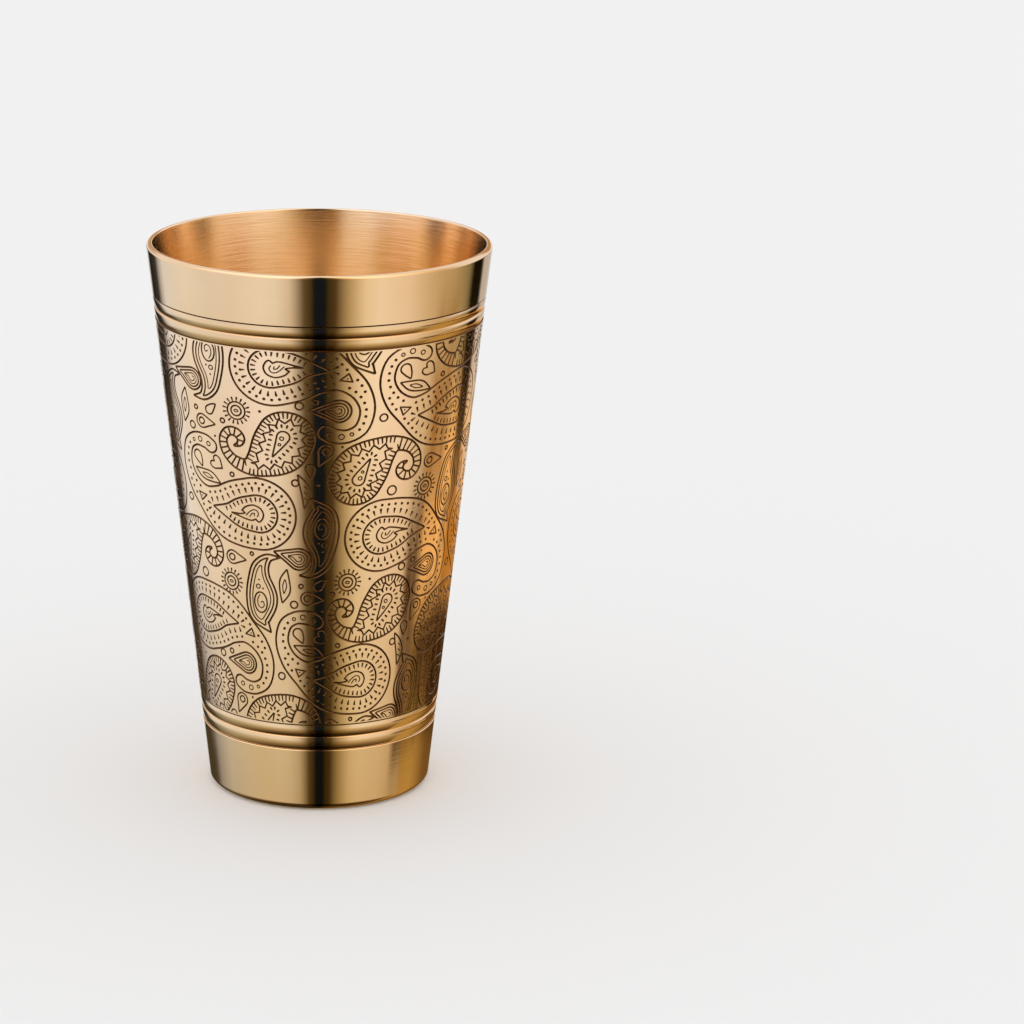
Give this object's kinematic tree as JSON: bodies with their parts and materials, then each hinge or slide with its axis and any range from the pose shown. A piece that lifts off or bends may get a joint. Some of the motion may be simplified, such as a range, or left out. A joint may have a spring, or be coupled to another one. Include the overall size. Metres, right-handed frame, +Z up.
{
  "type": "tapered tumbler",
  "caption": "Tapered brass lassi tumbler with turned beads, an engraved paisley band and a recessed base.",
  "frame": {"origin": "middle of the standing ring, on the surface that the tumbler stands on", "axes": "+Z up along the tumbler's axis; -Y faces the viewer"},
  "size_m": [0.092, 0.092, 0.15],
  "materials": {
    "turned_brass": "polished outside with dark engraved lines, brushed inside",
    "sheet_brass": "lathe-turned, satin",
    "braze_metal": "as flowed, slightly uneven"
  },
  "bodies": {
    "root": {"wall": "turned_brass", "base_disc": "sheet_brass", "braze_ring": "braze_metal"}
  },
  "joints": []
}
